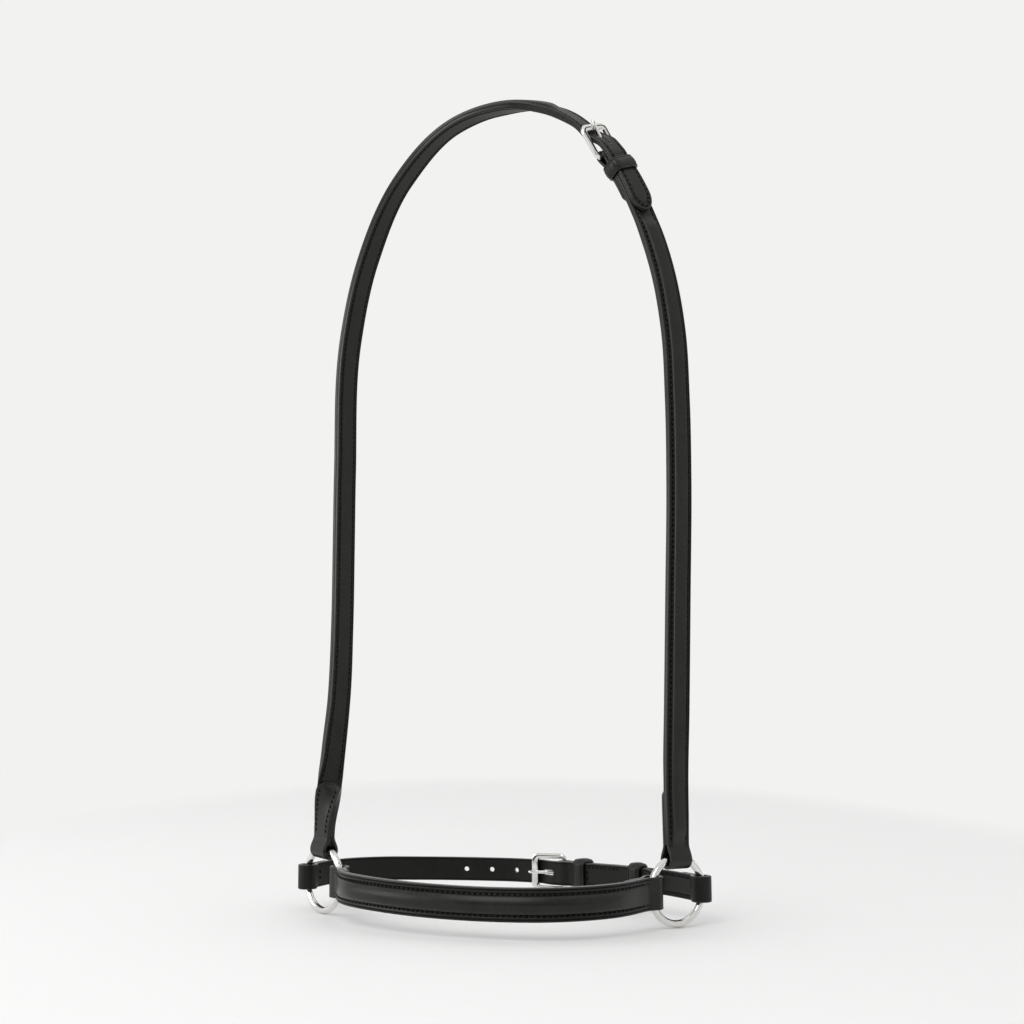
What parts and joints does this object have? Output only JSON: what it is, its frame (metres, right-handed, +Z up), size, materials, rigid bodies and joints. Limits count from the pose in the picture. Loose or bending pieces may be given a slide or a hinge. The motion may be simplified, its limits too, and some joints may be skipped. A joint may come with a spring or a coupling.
{
  "type": "bridle noseband",
  "caption": "Raised black leather noseband: a long crown strap buckled to a cheek strap, a padded nosepiece, round side rings and a buckled chin strap.",
  "frame": {"origin": "the poll seat: the inner face of the crown strap above the middle between the ring centres", "axes": "+Z up along the cheeks, +X towards the crown buckle's side, -Y to the front, where the nosepiece is"},
  "size_m": [0.2732, 0.181, 0.5404],
  "materials": {
    "black_leather": "polished bridle leather",
    "lining_leather": "softer lining leather",
    "felt_padding": "felt filler, sealed in",
    "polished_steel": "polished stainless steel"
  },
  "bodies": {
    "noseband": {"crown_strap_face": "black_leather", "crown_strap_lining": "lining_leather", "crown_strap_padding": "felt_padding", "cheek_strap_face": "black_leather", "cheek_strap_lining": "lining_leather", "cheek_strap_padding": "felt_padding", "nosepiece_face": "black_leather", "nosepiece_lining": "lining_leather", "nosepiece_padding": "felt_padding", "chin_billet_strap": "black_leather", "chin_buckle_strap": "black_leather", "crown_keeper": "black_leather", "chin_keeper_fixed": "black_leather"},
    "left_ring_body": {"left_ring": "polished_steel"},
    "right_ring_body": {"right_ring": "polished_steel"},
    "crown_buckle": {"crown_buckle_frame": "polished_steel"},
    "crown_tongue": {"crown_buckle_tongue": "polished_steel"},
    "chin_buckle": {"chin_buckle_frame": "polished_steel"},
    "chin_tongue": {"chin_buckle_tongue": "polished_steel"},
    "chin_runner": {"chin_keeper_running": "black_leather"}
  },
  "joints": [
    {"name": "left_ring_turn", "type": "hinge", "parent": "noseband", "child": "left_ring_body", "pos_m": [-0.116, 0, -0.5102], "axis": [0.5736, 0.8192, 0], "continuous": true},
    {"name": "right_ring_turn", "type": "hinge", "parent": "noseband", "child": "right_ring_body", "pos_m": [0.116, 0, -0.5102], "axis": [0.7193, -0.6947, 0], "continuous": true},
    {"name": "crown_buckle_lift", "type": "hinge", "parent": "noseband", "child": "crown_buckle", "pos_m": [0.07723, 0.00061, -0.03692], "axis": [0.4764, 0.7997, 0.3654], "range_deg": [0, 3]},
    {"name": "crown_tongue_lift", "type": "hinge", "parent": "crown_buckle", "child": "crown_tongue", "pos_m": [0.07723, 0.00061, -0.03692], "axis": [0.4764, 0.7997, 0.3654], "range_deg": [0, 2]},
    {"name": "chin_buckle_lift", "type": "hinge", "parent": "noseband", "child": "chin_buckle", "pos_m": [0.02607, 0.08587, -0.5115], "axis": [-0.0173, 0.007, 0.9998], "range_deg": [0, 3]},
    {"name": "chin_tongue_lift", "type": "hinge", "parent": "chin_buckle", "child": "chin_tongue", "pos_m": [0.02607, 0.08587, -0.5115], "axis": [-0.0173, 0.007, 0.9998], "range_deg": [0, 2]},
    {"name": "chin_runner_slide", "type": "slide", "parent": "noseband", "child": "chin_runner", "axis": [0.8672, -0.498, -0.0002], "range_m": [-0.008, 0.008]}
  ]
}
